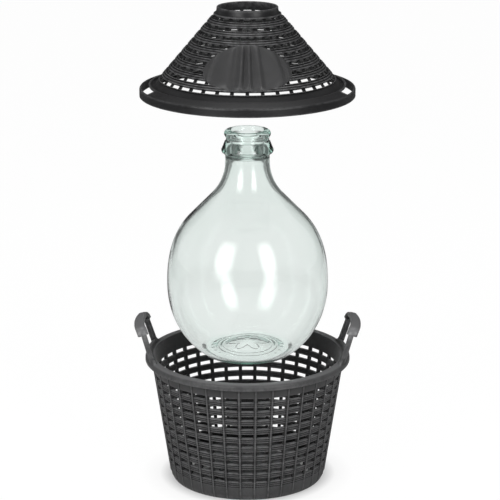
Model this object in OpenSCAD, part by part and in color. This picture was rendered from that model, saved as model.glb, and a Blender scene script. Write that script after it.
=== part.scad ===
// Glass carboy (demijohn) of about five litres, with its moulded basket and its
// moulded cover. The three pieces are drawn lifted apart on one upright axis: the
// glass slides down into the basket, and the cover slides down over the neck.
// The origin is the middle of the basket's underside, +Z is up, and the two
// handles stand on the X axis. All sizes are in millimetres.

/* [Glass] */
// Height of the glass from its foot to the top of its lip
glass_h = 299; // [296:1:306]
// Outer radius of the globe at its widest
globe_r = 105; // [98:1:107]
// Height of the widest level above the foot
globe_z = 97; // [94:1:99]
// Radius of the ring that the glass stands on
foot_r = 55; // [48:1:60]
// Thickness of the globe's wall
glass_t = 3.5; // [3:0.5:5]
// Height of the hollow under the base
punt_h = 8; // [8:1:18]
// Outer radius of the neck
neck_r = 28.6; // [27.6:0.1:30]
// Radius of the bore that takes the bung
bore_r = 20; // [18:0.5:21]

/* [Basket] */
// Height from the underside to the top of the rim
basket_h = 168; // [164:1:172]
// Outer radius of the wall at the underside, without its ribs
basket_base_r = 100.3; // [98:0.1:103]
// How far the wall leans outward, in degrees
wall_lean = 8.6; // [8:0.1:9.2]
// Thickness of the moulded wall
wall_t = 3; // [2.4:0.1:3.2]
// Outer radius of the rim
rim_r = 134.5; // [134:0.1:134.6]
// Depth of the rim's turned-down edge
rim_drop = 8; // [6:0.5:9]

/* [Basket openwork] */
// Upright ribs round the wall
rib_count = 36; // [36:4:40]
// Rows of openings up the wall
slot_rows = 10; // [8:1:10]
// Height of the middle of the lowest row
slot_z = 29.5; // [27:0.1:30]
// Distance from one row to the next
slot_pitch = 12.8; // [12:0.1:12.9]
// Height of one opening
slot_h = 5; // [4:0.5:7]
// Share of the space between two ribs that is open
slot_share = 0.77; // [0.6:0.01:0.8]

/* [Handles] */
// Angle from a handle's middle to the foot of each leg
leg_turn = 18; // [16:0.5:18.5]
// Angle from a handle's middle to the top of each leg
grip_turn = 14.2; // [13:0.1:16]
// Thickness of a leg, measured outward
leg_t = 6.5; // [5:0.5:7]
// Width of a leg along the rim
leg_w = 7; // [5:0.5:8]
// How far the handles lean outward, in degrees
handle_lean = 14.5; // [10:0.5:16]
// Height of the handles above the rim
handle_h = 45; // [40:1:50]

/* [Cover] */
// Height of the cover
cover_h = 114; // [112:1:118]
// Outer radius of the skirt that slips over the rim
skirt_r = 137.5; // [137.5:0.1:138.5]
// Height of the skirt
skirt_h = 11.5; // [10:0.5:12]
// Thickness of the cover's wall
cover_t = 2.4; // [2:0.1:2.6]
// Radius of the opening that the neck stands in
collar_r = 36.5; // [35.5:0.5:38]
// Rows of openings down the cone
ring_rows = 9; // [8:1:9]
// Height of one opening, measured up the slope of the cone
ring_slot_h = 4.6; // [3:0.2:5]

/* [Lifted apart] */
// Height of the glass's foot above the basket's underside
glass_lift = 170; // [170:1:200]
// Height of the cover's lower edge above the basket's underside
cover_lift = 514; // [500:1:560]

/* [Hidden] */
$fn = 96;
plastic = "#3f3f41";
glass_tint = [0.72, 0.80, 0.76, 0.45];
eps = 0.5;

// Glass: a lower and an upper superellipse, a straight shoulder and a hollow
// sweep into the neck, then a stout ring and a rounded lip. The bore widens below
// the ring.
lower_power = 2.1;
upper_power = 2.3;
upper_c = 1.1 * globe_r;
shoulder_lean = 44.4;
neck_sweep_r = 65;
neck_t = 6;
bore_len = 33.5;
arc_step = 6;
base_t = 6;
collar_z = glass_h - 31.5;
collar_top_z = glass_h - 15;
groove_z = glass_h - 12.5;
lip_r = neck_r + 1.4;

// Basket
rib_rise = 1.2;
rib_width = 2.6;
rim_t = 3;
floor_z = 3;
floor_t = 3;
base_round = 3.5;
drain_rings = 3;
drain_r = 30;
drain_step_r = 21;
drain_w = 9;
drain_count = 12;
drain_web = 4;

// Handles
leg_r = rim_r - leg_t - 1;
bar_r = leg_r + handle_h * tan(handle_lean);
leg_swing = leg_turn - grip_turn;
leg_out = atan((bar_r * cos(leg_swing) - leg_r) / handle_h);
leg_in = atan(bar_r * sin(leg_swing) / handle_h * cos(leg_out));
leg_len = handle_h / (cos(leg_out) * cos(leg_in));
grip_in = 3;
grip_out = 4.6;
grip_t = 5;
cheek_h = 9;
web_h = 4;

// Cover: a cone with rings of openings cut square through its slope, then a
// gutter round its foot, a sloping shelf and the skirt.
ring_z = 24;
ring_step_z = 9.75;
ring_r = 109.5;
ring_step_r = 8.2;
ring_slot_share = 0.76;
cone_low_z = 17.8;
gutter_r = 119.5;
gutter_w = 2.4;
gutter_z = 13.4;
shelf_r = 124.6;
shelf_z = 15.6;
cut_turn = 22.5;
cut_in_r = leg_r - 1.6;
cut_relief = 0.4;
cone_lean = atan(ring_step_z / ring_step_r);
plate_w = 110;
plate_h = 65;
plate_z = 51.9;
plate_proud = 2;
plate_depth = 5.5;

function superellipse_r(r, c, p, h) = r * pow(max(0, 1 - pow(h / c, p)), 1 / p);
function superellipse_c(r, p, h, end_r) = h / pow(1 - pow(end_r / r, p), 1 / p);

// Share of the height c at which a superellipse leans at angle a
function tangent_share(r, c, p, a) =
    let (k = pow(tan(a) * c / r, p / (p - 1))) k / (1 + k);

// Points of one skin of the glass, from the widest level down to height end_z
function lower_skin(r, end_z, c) =
    [for (i = [12:-1:0]) let (h = (globe_z - end_z) * sin(i * 90 / 12))
        [superellipse_r(r, c, lower_power, h), globe_z - h]];

// Points of one skin of the glass, from the widest level up to the neck
function upper_skin(r, c, throat_r, sweep_r) =
    let (w = tangent_share(r, c, upper_power, shoulder_lean),
         top_h = c * pow(w, 1 / upper_power),
         top_r = superellipse_r(r, c, upper_power, top_h),
         sweep_start_r = throat_r + sweep_r * (1 - cos(shoulder_lean)),
         sweep_start_z = globe_z + top_h + (top_r - sweep_start_r) / tan(shoulder_lean),
         steps = round(shoulder_lean / arc_step))
    concat(
        [for (i = [1:12]) let (h = top_h * sin(i * 90 / 12))
            [superellipse_r(r, c, upper_power, h), globe_z + h]],
        [for (i = [0:steps]) let (a = shoulder_lean * (1 - i / steps))
            [throat_r + sweep_r * (1 - cos(a)),
             sweep_start_z + sweep_r * (sin(shoulder_lean) - sin(a))]]
    );

// Points along an arc, from angle a to angle b about (r, z)
function arc(r, z, radius, a, b, steps = 6) =
    [for (i = [0:steps]) let (t = a + (b - a) * i / steps)
        [r + radius * cos(t), z + radius * sin(t)]];

function reversed(list) = [for (i = [len(list) - 1:-1:0]) list[i]];

// Radius of the basket's plain wall at height z
function wall_r(z) = basket_base_r + z * tan(wall_lean);

// Outer radius of the cover's cone at height z above the skirt's edge
function cone_r(z) = ring_r - (z - ring_z) * ring_step_r / ring_step_z;

// A point of the cone's slope at height z, sunk square into the wall
function cone_point(z, sink) = [cone_r(z) - sink * sin(cone_lean), z - sink * cos(cone_lean)];

// Outline of the glass on its own axis, foot at zero
module glass_outline() {
    outer_c = superellipse_c(globe_r, lower_power, globe_z, foot_r);
    inner_floor_z = base_t + 2;
    neck_points = concat(
        [[neck_r, collar_z]],
        arc(neck_r + 1, collar_z + 5, 4, -70, 20, 4),
        [[neck_r + 0.8, collar_top_z], [neck_r - 1, groove_z]],
        arc(lip_r - 5, glass_h - 5, 5, -50, 90, 7)
    );
    bore_points = concat(
        arc(bore_r + 2.5, glass_h - 2.5, 2.5, 90, 180, 3),
        [[bore_r, glass_h - bore_len], [neck_r - neck_t, glass_h - bore_len - 1]],
        reversed(upper_skin(globe_r - glass_t, upper_c - glass_t,
                            neck_r - neck_t, neck_sweep_r + neck_t))
    );
    hollow_points = concat(
        reversed(lower_skin(globe_r - glass_t, inner_floor_z, outer_c - glass_t)),
        [for (i = [1:4]) [foot_r * (1 - i / 4) * 0.92,
            inner_floor_z + (punt_h - 2) * sin(i * 90 / 4)]]
    );
    punt_points = [for (i = [0:4]) [(foot_r - 6) * i / 4, punt_h * cos(i * 90 / 4)]];
    polygon(concat(
        punt_points,
        lower_skin(globe_r, 0, outer_c),
        upper_skin(globe_r, upper_c, neck_r, neck_sweep_r),
        neck_points,
        bore_points,
        hollow_points
    ));
}

module carboy() {
    color(glass_tint)
        translate([0, 0, glass_lift])
            rotate_extrude()
                glass_outline();
}

// A slice of ring between two radii, turned evenly about its middle angle
module ring_slice(inner_r, outer_r, z, h, middle, spread) {
    rotate_extrude(angle = spread, start = middle - spread / 2)
        translate([inner_r, z - h / 2])
            square([outer_r - inner_r, h]);
}

module basket_shell() {
    rotate_extrude()
        polygon([
            [0, floor_z],
            [wall_r(0) - 8, floor_z],
            [wall_r(0) - 8, 0],
            [wall_r(0) - base_round / 2, 0],
            [wall_r(base_round), base_round],
            [wall_r(basket_h), basket_h - eps],
            [wall_r(basket_h) - wall_t, basket_h - eps],
            [wall_r(floor_z + floor_t) - wall_t, floor_z + floor_t],
            [0, floor_z + floor_t]
        ]);
}

module basket_rim() {
    inner_r = wall_r(basket_h) - wall_t;
    edge_r = 2.2;
    rotate_extrude()
        polygon(concat(
            [[inner_r, basket_h - rim_t], [rim_r - rim_t, basket_h - rim_t],
             [rim_r - rim_t, basket_h - rim_drop], [rim_r, basket_h - rim_drop]],
            arc(rim_r - edge_r, basket_h - edge_r, edge_r, 0, 90, 3),
            arc(inner_r + 1, basket_h - 1, 1, 90, 180, 2)
        ));
}

// One upright rib, leaning with the wall, from the foot up to the rim
module basket_rib(turn) {
    spread = 360 * rib_width / (2 * PI * wall_r(basket_h / 2));
    rotate_extrude(angle = spread, start = turn - spread / 2)
        polygon([
            [wall_r(base_round) - wall_t / 2, base_round],
            [wall_r(base_round) + rib_rise, base_round],
            [wall_r(basket_h - rim_t) + rib_rise, basket_h - rim_t + eps],
            [wall_r(basket_h - rim_t) - wall_t / 2, basket_h - rim_t + eps]
        ]);
}

module basket_slots() {
    rib_gap = 360 / rib_count;
    for (row = [0:slot_rows - 1], i = [0:rib_count - 1]) {
        z = slot_z + row * slot_pitch;
        ring_slice(wall_r(z) - wall_t - 2, wall_r(z) + rib_rise + 1, z, slot_h,
                   i * rib_gap, rib_gap * slot_share);
    }
}

// Curved openings in the floor, with a web under every third rib
module drain_slots() {
    gap = 360 / drain_count;
    first_web = 180 / rib_count;
    for (ring = [0:drain_rings - 1], i = [0:drain_count - 1]) {
        r = drain_r + ring * drain_step_r;
        web = 360 * drain_web / (2 * PI * r);
        ring_slice(r, r + drain_w, floor_z + floor_t / 2, floor_t + 2 * eps,
                   first_web + (i + 0.5) * gap, gap - web);
    }
}

// Places its children on the line of a leg, which leans outward and towards the
// handle's middle. side is 1 or -1.
module on_leg(side, z) {
    rotate([0, 0, side * leg_turn])
        translate([leg_r, 0, z])
            rotate([side * leg_in, leg_out, 0])
                children();
}

// One leg of a handle: a bar that starts inside the rim
module handle_leg(side) {
    on_leg(side, basket_h - rim_t + eps)
        translate([0, -leg_w / 2, 0])
            cube([leg_t, leg_w, leg_len + rim_t - eps]);
}

// The down-turned end of the grip, which wraps round the corner of the arch
module grip_cheek(side) {
    on_leg(side, basket_h)
        translate([-grip_in / 2, -leg_w / 2 - 1, leg_len - cheek_h])
            cube([leg_t + grip_in / 2 + grip_out, leg_w + 2, cheek_h]);
}

// The grip's bar: a curved, hooked section with its lip turned down
module grip_bar() {
    top_z = basket_h + handle_h;
    outer_r = bar_r + leg_t + grip_out;
    rotate_extrude(angle = 2 * grip_turn, start = -grip_turn)
        polygon([
            [bar_r - grip_in, top_z - grip_t],
            [outer_r - 3, top_z - grip_t],
            [outer_r - 3.4, top_z - grip_t - 4],
            [outer_r - 0.6, top_z - grip_t - 4.6],
            [outer_r, top_z - grip_t + 1],
            [outer_r - 2, top_z - 0.6],
            [bar_r + 2, top_z - 1],
            [bar_r - grip_in + 1, top_z - 2]
        ]);
}

// The low wall that joins the feet of one handle's legs on top of the rim
module handle_web() {
    rotate_extrude(angle = 2 * leg_turn + 6, start = -leg_turn - 3)
        polygon([
            [leg_r - 1, basket_h - rim_t + eps],
            [rim_r - 1.4, basket_h - rim_t + eps],
            [rim_r - 1.8, basket_h + web_h],
            [leg_r + 2, basket_h + web_h]
        ]);
}

module handle() {
    handle_web();
    grip_bar();
    for (side = [-1, 1]) {
        handle_leg(side);
        grip_cheek(side);
    }
}

module basket() {
    color(plastic)
        difference() {
            union() {
                basket_shell();
                basket_rim();
                for (i = [0:rib_count - 1])
                    basket_rib((i + 0.5) * 360 / rib_count);
                for (side = [0, 180])
                    rotate([0, 0, side])
                        handle();
            }
            basket_slots();
            drain_slots();
        }
}

module cover_outline() {
    top_z = ring_z + (ring_rows - 0.7) * ring_step_z;
    polygon([
        [skirt_r - cover_t, 0],
        [skirt_r, 0],
        [skirt_r, skirt_h - 1.5],
        [skirt_r - 1.5, skirt_h],
        [shelf_r, shelf_z],
        [gutter_r + gutter_w / 2, gutter_z],
        [gutter_r - gutter_w / 2, gutter_z],
        cone_point(cone_low_z, 0),
        cone_point(top_z, 0),
        [collar_r + cover_t, cover_h - 4],
        [collar_r + cover_t, cover_h],
        [collar_r, cover_h],
        [collar_r, cover_h - 4],
        cone_point(top_z, cover_t),
        cone_point(cone_low_z, cover_t),
        [gutter_r - gutter_w, gutter_z - cover_t],
        [gutter_r + gutter_w, gutter_z - cover_t],
        [shelf_r + 1, shelf_z - cover_t],
        [skirt_r - cover_t, skirt_h - cover_t]
    ]);
}

// An opening that passes square through the cone's slope at height z
module cone_slice(z, middle, spread) {
    rotate_extrude(angle = spread, start = middle - spread / 2)
        translate(cone_point(z, cover_t / 2))
            rotate(90 - cone_lean)
                square([cover_t + 3, ring_slot_h], center = true);
}

module cover_slots() {
    for (row = [0:ring_rows - 1]) {
        // The two small rings at the top have half as many openings.
        count = row < ring_rows - 2 ? rib_count : rib_count / 2;
        share = row < ring_rows - 2 ? ring_slot_share : ring_slot_share * 0.9;
        offset = row < ring_rows - 2 ? 0.5 : 0;
        gap = 360 / count;
        for (i = [0:count - 1])
            cone_slice(ring_z + row * ring_step_z, -90 + (i + offset) * gap, gap * share);
    }
}

// The crescent openings that let the handles stand up through the shelf
module handle_cuts() {
    for (side = [0, 180])
        rotate([0, 0, side])
            rotate_extrude(angle = 2 * cut_turn, start = -cut_turn)
                translate([cut_in_r, skirt_h - cover_t - 3])
                    square([skirt_r - cover_t + cut_relief - cut_in_r, 20]);
}

// The smooth oval plate on the front of the cone
module oval_plate() {
    low_z = ring_z;
    high_z = ring_z + (ring_rows - 2) * ring_step_z;
    outer_r = cone_r(plate_z) + plate_proud;
    intersection() {
        rotate_extrude(angle = 100, start = -140)
            polygon([for (p = [[low_z, plate_depth], [low_z, 0], [high_z, 0], [high_z, plate_depth]])
                [cone_r(p[0]) + plate_proud - p[1], p[0]]]);
        translate([0, -outer_r, plate_z])
            rotate([cone_lean, 0, 0])
                linear_extrude(height = 80, center = true)
                    polygon([for (i = [0:47])
                        [plate_w / 2 * cos(i * 7.5), plate_h / 2 * sin(i * 7.5)]]);
    }
}

module cover() {
    color(plastic)
        translate([0, 0, cover_lift]) {
            difference() {
                rotate_extrude()
                    cover_outline();
                cover_slots();
                handle_cuts();
            }
            oval_plate();
        }
}

basket();
carboy();
cover();
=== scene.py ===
"""Looks of the glass carboy: its bottle, its moulded basket and its moulded cover.

The three CAD solids are replaced by finer meshes of the same size. The basket and the cover are
skins laid out on a round grid: its columns are directions about the upright axis, and its stations
are points along the moulding's outline, with an outer and an inner point each. The cover's oval
plate is a smaller skin of the same sort, and the bottle is one closed lathe. Angles are in degrees,
+X is 0 and -Y, the front, is -90.
"""

import math
from collections import namedtuple

import bmesh
import bpy
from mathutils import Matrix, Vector, noise


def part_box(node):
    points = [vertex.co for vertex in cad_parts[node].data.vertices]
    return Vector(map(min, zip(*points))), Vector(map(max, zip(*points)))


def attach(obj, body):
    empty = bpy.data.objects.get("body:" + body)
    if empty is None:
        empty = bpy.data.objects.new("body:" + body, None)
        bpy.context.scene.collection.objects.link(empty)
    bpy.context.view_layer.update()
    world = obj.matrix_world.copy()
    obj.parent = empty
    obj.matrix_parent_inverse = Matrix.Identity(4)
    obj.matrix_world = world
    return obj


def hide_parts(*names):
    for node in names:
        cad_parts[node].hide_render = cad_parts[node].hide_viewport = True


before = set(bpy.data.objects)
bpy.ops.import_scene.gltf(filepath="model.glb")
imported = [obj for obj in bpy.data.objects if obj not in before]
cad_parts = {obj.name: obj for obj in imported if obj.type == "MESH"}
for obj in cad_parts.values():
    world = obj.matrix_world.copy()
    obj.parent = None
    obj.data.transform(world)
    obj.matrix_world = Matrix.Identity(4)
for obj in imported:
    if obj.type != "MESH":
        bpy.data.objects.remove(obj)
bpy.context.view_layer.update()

MM = 0.001
basket_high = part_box("basket")[1]
glass_low, glass_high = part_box("carboy")
cover_low, cover_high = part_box("cover")

# ---------------------------------------------------------------- sizes, in millimetres and degrees

# Basket. The cover has as many webs as the basket has ribs.
HANDLE_H = 45
RIM_Z = basket_high.z / MM - HANDLE_H
RIM_R = basket_high.y / MM
RIM_DROP = 8
RIM_ROUND = 4.2
RIM_SIDE_T = 3
RIM_TOP_T = 4
WALL_BASE_R = 100.3
WALL_LEAN = 8.6
WALL_T = 3
FOOT_W = 8
FOOT_BAND_Z = (7.5, 13)
RIM_BAND_Z = 155
BAND_RISE = 0.9
RIB_COUNT = 36
RIB_GAP = 360 / RIB_COUNT
RIB_RISE = 1.7
FLOOR_Z = 3
FLOOR_T = 3
SLOT_ROWS = 10
SLOT_Z = 29.5
SLOT_PITCH = 12.8
SLOT_H = 5
STRANDS = 3
STRAND_RISE = 1.0
STRAND_GROOVE = 0.8
STRAND_RISE_INSIDE = 0.45
STRAND_END_SHARE = 0.35
DRAIN_R = 30
DRAIN_STEP = 21
DRAIN_W = 9
DRAIN_RINGS = 3

# Handles. The legs stand LEG_FOOT_OUT and LEG_TOP_OUT from the middle of their handle.
LEG_R = 130.25
LEG_HALF_T = 3.25
LEG_HALF_W = 3.4
LEG_FOOT_OUT = 41.3
LEG_TOP_OUT = 35.2
LEG_HEIGHTS = (6.2, 12, 22)
HANDLE_LEAN = 14.5
GRIP_RISE = 4.4
GRIP_CORNER = 6
LEDGE_DROP = 5
# The low web between the legs, and the part of the rim's top that it stands on
WEB_H = 4
WEB_FLARE = 1.6
WEB_OUT_R = RIM_R - RIM_ROUND + RIM_ROUND * math.cos(math.radians(45))
WEB_IN_R = 127.0
RIM_TOP_R = (129.2, 128.1, WEB_IN_R, 125.6, 124.2)

# Cover
COVER_Z = cover_low.z / MM
COVER_R = cover_high.y / MM
COVER_H = cover_high.z / MM - COVER_Z
COVER_T = 2.4
SKIRT_H = 11.5
COLLAR_R = 36.5
RING_ROWS = 9
RING_Z = 24
RING_STEP_Z = 9.75
RING_R = 109.5
RING_STEP_R = 8.2
RING_SLOT_H = 4.6
RING_PITCH = math.hypot(RING_STEP_Z, RING_STEP_R)
WEB_SINK = 0.7
# Each millimetre up the cone's slope goes this far towards the axis and this far upward
CONE_IN = RING_STEP_R / RING_PITCH
CONE_UP = RING_STEP_Z / RING_PITCH
GUTTER_R = 120
GUTTER_Z = 13.4
SHELF_R = 124.6
SHELF_Z = 15.6
# The crescent openings that the handles pass through
CUT_IN_R = 125.4
CUT_OUT_R = 135.5
CUT_BETWEEN_R = (132, 128.8)
CUT_TURN = 22.98
# The oval plate and its upright folds
PLATE_W = 110
PLATE_H = 65
PLATE_Z = 51.9
PLATE_PROUD = 2
PLATE_DEPTH = 4
PLATE_EDGE_SINK = 0.6
FOLD_RISE = 3
FOLD_W = 15
FOLD_CREST = 0.68
FOLD_SHIFT = 0.4
FOLD_WANDER = 0.35
FOLD_WANDER_LENGTH = 9

# Glass
GLASS_Z = glass_low.z / MM
GLASS_H = glass_high.z / MM - GLASS_Z
GLASS_T = 3.5
GLASS_COLUMNS = 256
GLOBE_R = glass_high.x / MM
GLOBE_Z = 97
LOWER_POWER = 2.1
UPPER_POWER = 2.3
UPPER_C = 1.1 * GLOBE_R
SHOULDER_LEAN = 44.4
NECK_R = 28.6
NECK_T = 6
NECK_SWEEP_R = 65
NECK_RING_Z = GLASS_H - 31.5
LIP_R = 30
LIP_ROUND = 5
MOUTH_ROUND = 2.5
BORE_R = 20
BORE_LEN = 33.5
# The foot, the hollow under it and the hump that the hollow makes in the floor inside
FOOT_R = 55
PUNT_R = FOOT_R - 6
PUNT_H = 8
INSIDE_FLOOR_Z = 8
HUMP_R = 0.92 * FOOT_R
HUMP_H = PUNT_H - 2
# The pattern in the base. A ring is (radius, width), and DOT_GAP is in degrees.
RELIEF_H = 0.7
RELIEF_RINGS = ((39, 0.9), (33, 0.7))
DOTS_R = 45
DOT_GAP = 15
DOT_W = 1.5
ROSETTE_R = 19
ROSETTE_H = 0.6
ROSETTE_W = 1.1
PETALS = 6
PETAL_LEN = 6
# Unevenness of the blown glass, as (depth, length of its waves)
WALL_WAVES = (0.18, 46)
INSIDE_WAVES = (0.25, 34)
FLOOR_WAVES = (0.15, 30)
NOISE_SHIFT = 500


# ---------------------------------------------------------------- points and outlines


def on_axis(r, z, angle):
    """A point from its radius, height and direction, millimetres in and metres out."""
    a = math.radians(angle)
    return Vector((r * math.cos(a), r * math.sin(a), z)) * MM


def mix(a, b, t):
    return a + (b - a) * t


def arc(r, z, radius, start, end, steps):
    """Points along an arc about (r, z), from one direction to another."""
    turns = [math.radians(mix(start, end, i / steps)) for i in range(steps + 1)]
    return [(r + radius * math.cos(t), z + radius * math.sin(t)) for t in turns]


def swell(distance, width):
    """A smooth bump of height 1 at distance 0, gone at about twice its width."""
    return math.exp(-((distance / width) ** 2))


def ripple(x, y, z, size):
    """Smooth noise from -1 to 1, the same in every run, with features of about this size."""
    return noise.noise(Vector((x, y, z)) / size)


# ---------------------------------------------------------------- meshes


def finished_object(name, bm, sharp_angle=38):
    """Turns a bmesh in metres into an object with smooth faces and crisp edges."""
    bmesh.ops.remove_doubles(bm, verts=bm.verts, dist=1e-7)
    loose = [v for v in bm.verts if not v.link_faces]
    bmesh.ops.delete(bm, geom=loose, context="VERTS")
    bmesh.ops.recalc_face_normals(bm, faces=bm.faces)
    for face in bm.faces:
        face.smooth = True
    mesh = bpy.data.meshes.new(name)
    bm.to_mesh(mesh)
    bm.free()
    mesh.set_sharp_from_angle(angle=math.radians(sharp_angle))
    obj = bpy.data.objects.new(name, mesh)
    bpy.context.scene.collection.objects.link(obj)
    return obj


def quad(bm, *corners):
    """Adds a face, unless two of its corners are the same vertex."""
    if len(set(corners)) == len(corners):
        bm.faces.new(corners)


def pierced_shell(bm, angles, stations, outer, inner, is_open, is_left_out=None):
    """A closed shell with openings, as an outer and an inner skin joined round every opening.

    outer and inner give (r, z) at a station and column. is_open says which cells are holes, and
    is_left_out which outer cells are left for another shape to grow from. Returns the outer vertices.
    """
    columns = len(angles)

    def skin(surface):
        return [[bm.verts.new(on_axis(*surface(i, j), angles[j])) for j in range(columns)]
                for i in range(stations)]

    out, inn = skin(outer), skin(inner)
    rows = stations - 1
    solid = [[not is_open(i, j) for j in range(columns)] for i in range(rows)]

    def is_solid(i, j):
        return 0 <= i < rows and solid[i][j % columns]

    for i in range(rows):
        for j in range(columns):
            if not solid[i][j]:
                continue
            k = (j + 1) % columns
            if is_left_out is None or not is_left_out(i, j):
                quad(bm, out[i][j], out[i][k], out[i + 1][k], out[i + 1][j])
            quad(bm, inn[i][k], inn[i][j], inn[i + 1][j], inn[i + 1][k])
            if not is_solid(i - 1, j):
                quad(bm, inn[i][j], inn[i][k], out[i][k], out[i][j])
            if not is_solid(i + 1, j):
                quad(bm, out[i + 1][j], out[i + 1][k], inn[i + 1][k], inn[i + 1][j])
            if not is_solid(i, j - 1):
                quad(bm, out[i][j], out[i + 1][j], inn[i + 1][j], inn[i][j])
            if not is_solid(i, j + 1):
                quad(bm, inn[i][k], inn[i + 1][k], out[i + 1][k], out[i][k])
    return out


# One station of an outline: its outer and its inner point, what it is, and a number that is a
# strand's relief from 0 to 1, a drain's ring or an opening's row
Station = namedtuple("Station", "r z inner_r inner_z kind number", defaults=(0,))


# ---------------------------------------------------------------- basket

# Columns of one rib and of the gap after it, in degrees from the rib's middle. The columns of the
# rib's crest lie within RIB_CREST of its middle, and those of its foot lie beyond RIB_FOOT.
RIB_EDGES = (-1.15, -0.65, -0.45, 0.45, 0.65, 1.15)
RIB_CREST = 0.5
RIB_FOOT = 1.0
GAP_EDGES = (2.0, 5.0, 8.0)
GAP_START = len(RIB_EDGES) - 1
BASKET_EDGES = RIB_EDGES + GAP_EDGES
BASKET_COLUMNS = [(k + 0.5) * RIB_GAP + edge for k in range(RIB_COUNT) for edge in BASKET_EDGES]
# The columns that a leg stands between, in degrees from its handle's middle
LEG_EDGES = (1.5 * RIB_GAP + GAP_EDGES[0], 1.5 * RIB_GAP + GAP_EDGES[1])
# Section of a strand, as (share of its height, relief)
STRAND_SECTION = ((0, 0), (0.3, 1), (0.7, 1))


def wall_r(z):
    return WALL_BASE_R + z * math.tan(math.radians(WALL_LEAN))


def floor_stations():
    """From the middle of the floor to the foot ring. The cells beyond a drain station are pierced."""
    top = FLOOR_Z + FLOOR_T

    def flat(r, kind="floor", ring=0):
        return Station(r, FLOOR_Z, r, top, kind, ring)

    stations = [flat(0), flat(DRAIN_R / 2)]
    for ring in range(DRAIN_RINGS):
        r = DRAIN_R + ring * DRAIN_STEP
        stations += [flat(r, "drain", ring), flat(r + DRAIN_W)]
    foot_in = WALL_BASE_R - FOOT_W
    inner_r = wall_r(top) - WALL_T
    return stations + [
        Station(foot_in, FLOOR_Z, foot_in - 2, top, "floor"),
        Station(foot_in + 0.4, 0.5, foot_in, top, "floor"),
        Station(foot_in + 1, 0, foot_in + 2, top, "floor"),
        Station(WALL_BASE_R - 2.2, 0, inner_r - 1.6, top, "floor"),
        Station(WALL_BASE_R - 0.6, 0.8, inner_r - 0.5, top + 0.5, "floor"),
    ]


def wall_stations():
    """Up the wall. A band is smooth, a strand has relief, and the cells above a slot are pierced."""
    stations = []

    def add(z, kind, relief=0):
        stations.append(Station(wall_r(z), z, wall_r(z) - WALL_T, z, kind, relief))

    def add_strands(low, high):
        height = (high - low) / STRANDS
        for strand in range(STRANDS):
            for share, relief in STRAND_SECTION:
                add(low + (strand + share) * height, "strand", relief)

    first_low = SLOT_Z - SLOT_H / 2
    strands_low = first_low - (SLOT_PITCH - SLOT_H)
    for z in (*FOOT_BAND_Z, strands_low - 0.9):
        add(z, "band")
    add_strands(strands_low, first_low)
    for row in range(SLOT_ROWS):
        low = first_low + row * SLOT_PITCH
        add(low, "slot")
        if row < SLOT_ROWS - 1:
            add_strands(low + SLOT_H, low + SLOT_PITCH)
    top = first_low + (SLOT_ROWS - 1) * SLOT_PITCH + SLOT_H
    add(top, "strand")
    for z in (top + 0.7, top + 1.6, RIM_BAND_Z, RIM_Z - RIM_DROP + 2):
        add(z, "band")
    return stations


def rim_stations():
    """Out under the rim, round its edge and back over its top to the inner wall."""
    inner_r = wall_r(RIM_Z) - WALL_T
    side_in = RIM_R - RIM_SIDE_T
    under = RIM_Z - RIM_TOP_T
    low = RIM_Z - RIM_DROP
    outline = [
        (wall_r(under) + BAND_RISE, under),
        (side_in - 0.8, under + 0.8),
        (side_in, under),
        (side_in, low + 0.5),
        (side_in + 0.5, low),
        (RIM_R - 0.6, low),
        (RIM_R, low + 0.6),
    ]
    outline += arc(RIM_R - RIM_ROUND, RIM_Z - RIM_ROUND, RIM_ROUND, 0, 90, 4)
    outline += [(r, RIM_Z) for r in RIM_TOP_R]
    outline += arc(inner_r + 1, RIM_Z - 1, 1, 90, 180, 2)
    stations = []
    for i, (r, z) in enumerate(outline):
        inner_z = mix(low + 2.5, RIM_Z - 2, (i + 1) / len(outline))
        stations.append(Station(r, z, wall_r(inner_z) - WALL_T, inner_z, "rim"))
    return stations


BASKET = floor_stations() + wall_stations() + rim_stations()


def from_handle(angle):
    """Degrees from the middle of the nearest handle."""
    return abs((angle + 90) % 180 - 90)


def web_rise(r, angle):
    """How far the low web between a handle's legs stands above the rim."""
    turn = from_handle(angle)
    on_web = WEB_IN_R + 0.5 < r < WEB_OUT_R - 0.5 and turn <= LEG_EDGES[1] + 0.1
    return WEB_H + WEB_FLARE * swell(turn - LEG_EDGES[0], 1.5) if on_web else 0


def strand_bow(edge):
    """How far a strand swells at a column, least beside the ribs and most in the middle of the gap."""
    across = (edge % RIB_GAP) / RIB_GAP
    return mix(STRAND_END_SHARE, 1.0, math.sin(math.pi * across) ** 0.5)


def basket_outer(i, j):
    r, z, _, _, kind, relief = BASKET[i]
    edge = BASKET_EDGES[j % len(BASKET_EDGES)]
    if kind == "rim":
        return r, z + web_rise(r, BASKET_COLUMNS[j])
    if kind in ("floor", "drain"):
        return r, z
    if abs(edge) < RIB_CREST:
        return r + RIB_RISE, z
    if kind == "band":
        return r + BAND_RISE, z
    return r + STRAND_RISE * strand_bow(edge) * relief - STRAND_GROOVE * (1 - relief), z


def basket_inner(i, j):
    _, _, r, z, kind, relief = BASKET[i]
    edge = BASKET_EDGES[j % len(BASKET_EDGES)]
    if kind == "strand" and abs(edge) > RIB_FOOT:
        r -= STRAND_RISE_INSIDE * relief
    return r, z


def basket_open(i, j):
    """The wall is open between its ribs, and the floor in arcs three ribs long with a web between."""
    kind, ring = BASKET[i].kind, BASKET[i].number
    rib, place = divmod(j, len(BASKET_EDGES))
    if kind == "slot":
        return place >= GAP_START
    if kind == "drain":
        # The innermost arcs are the shortest, so their webs take one more column on each side.
        extra = 0 if ring else 1
        after_web = rib % 3 == 0 and place < GAP_START + 1 + extra
        before_web = rib % 3 == 2 and place >= len(BASKET_EDGES) - 1 - extra
        return not (after_web or before_web)
    return False


def near(value, target):
    return abs(value - target) < 0.3


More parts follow.
